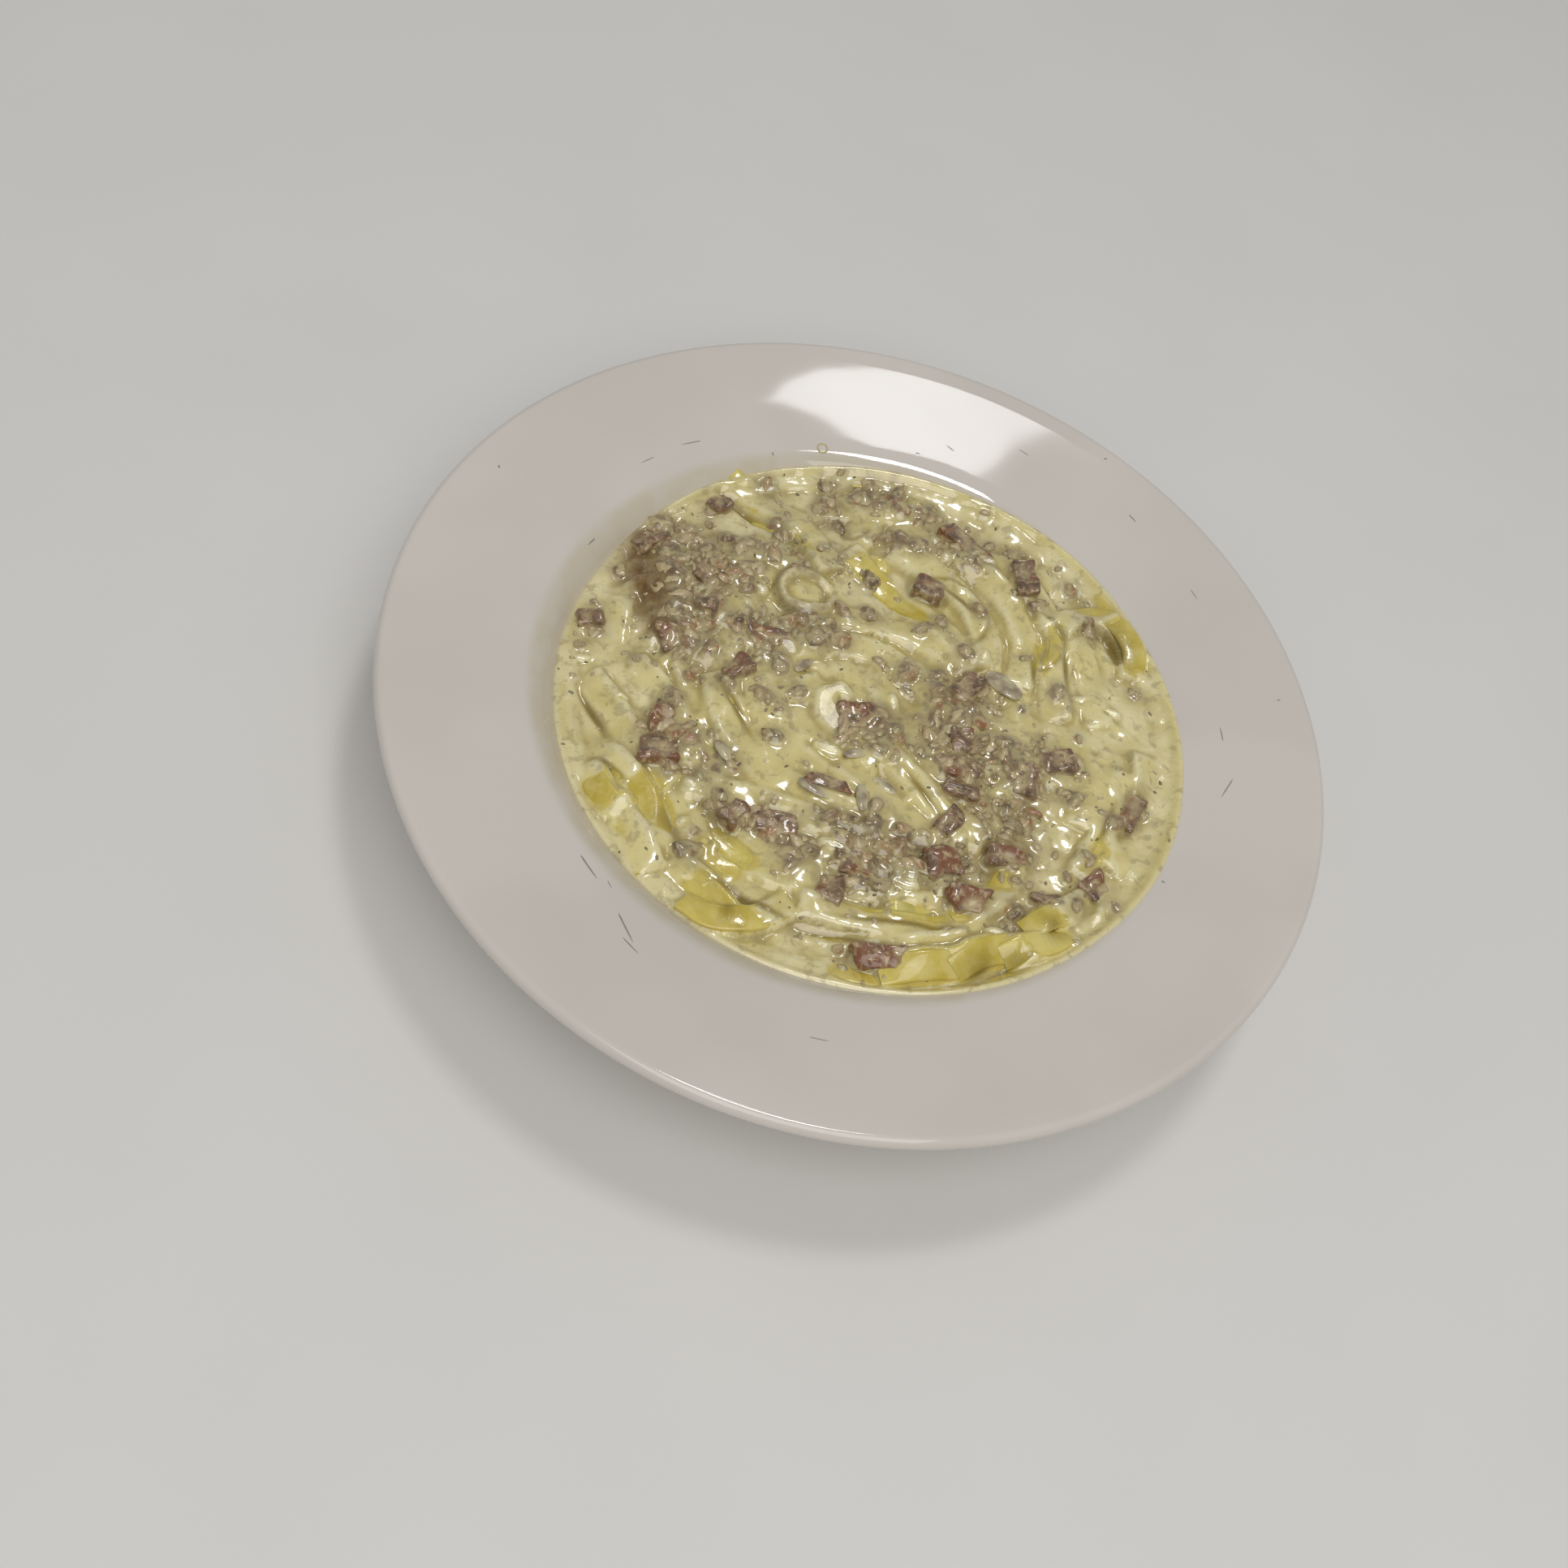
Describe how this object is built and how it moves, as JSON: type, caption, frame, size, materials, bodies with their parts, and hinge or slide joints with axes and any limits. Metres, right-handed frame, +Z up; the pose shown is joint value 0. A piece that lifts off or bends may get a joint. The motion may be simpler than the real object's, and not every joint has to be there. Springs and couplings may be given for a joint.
{
  "type": "plate of carbonara",
  "caption": "Wide-rimmed pasta plate filled with ribbon noodles in cream sauce, scattered with browned bacon.",
  "frame": {"origin": "centre of the plate's foot, on the table", "axes": "+Z up along the plate's axis; +X to the side where the sauce stands highest"},
  "size_m": [0.3, 0.3, 0.048],
  "materials": {
    "porcelain": "glazed, smooth and shiny",
    "pasta": "boiled egg noodle, moist",
    "cream": "wet cream sauce",
    "bacon": "fried, slightly oily"
  },
  "bodies": {
    "root": {"plate": "porcelain", "noodles": "pasta", "sauce": "cream", "bacon_01": "bacon", "bacon_02": "bacon", "bacon_03": "bacon", "bacon_04": "bacon", "bacon_05": "bacon", "bacon_06": "bacon", "bacon_07": "bacon", "bacon_08": "bacon", "bacon_09": "bacon", "bacon_10": "bacon", "bacon_11": "bacon", "bacon_12": "bacon", "bacon_13": "bacon", "bacon_14": "bacon", "bacon_15": "bacon", "bacon_16": "bacon", "bacon_17": "bacon", "bacon_18": "bacon", "bacon_19": "bacon", "bacon_20": "bacon", "bacon_21": "bacon", "bacon_22": "bacon", "bacon_23": "bacon", "bacon_24": "bacon", "bacon_25": "bacon", "bacon_26": "bacon", "bacon_27": "bacon", "bacon_28": "bacon", "bacon_29": "bacon", "bacon_30": "bacon", "bacon_31": "bacon", "bacon_32": "bacon", "bacon_33": "bacon"}
  },
  "joints": []
}
